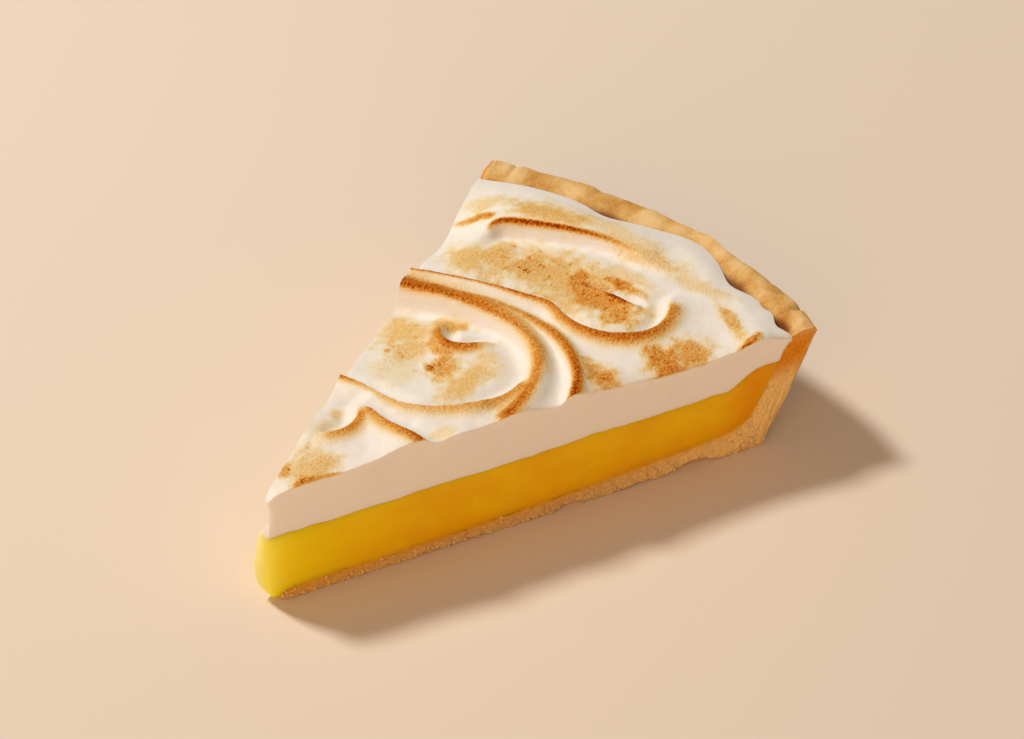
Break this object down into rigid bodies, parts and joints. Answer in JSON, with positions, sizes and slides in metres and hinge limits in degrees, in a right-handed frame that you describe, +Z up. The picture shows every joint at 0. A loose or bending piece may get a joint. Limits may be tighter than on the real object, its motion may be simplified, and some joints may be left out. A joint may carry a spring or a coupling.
{
  "type": "slice of lemon meringue pie",
  "caption": "Cut wedge of pie with a shortcrust base, sloping wall and rim, a thick layer of set lemon curd, and swirled, toasted meringue on top.",
  "frame": {"origin": "on the table under the middle of the slice's bounding box", "axes": "+X runs from the tip to the rim along the slice's middle line, +Z is up, the near cut shown in the picture faces -Y"},
  "size_m": [0.1252, 0.089, 0.0298],
  "materials": {
    "shortcrust": "matt baked shortcrust, golden on the rim, pale and crumbly where cut",
    "lemon_curd": "smooth, slightly glossy and translucent set curd",
    "toasted_meringue": "soft white meringue, satin, toasted tan to brown on its crests"
  },
  "bodies": {
    "root": {"crust": "shortcrust", "lemon_curd": "lemon_curd", "meringue": "toasted_meringue"}
  },
  "joints": []
}
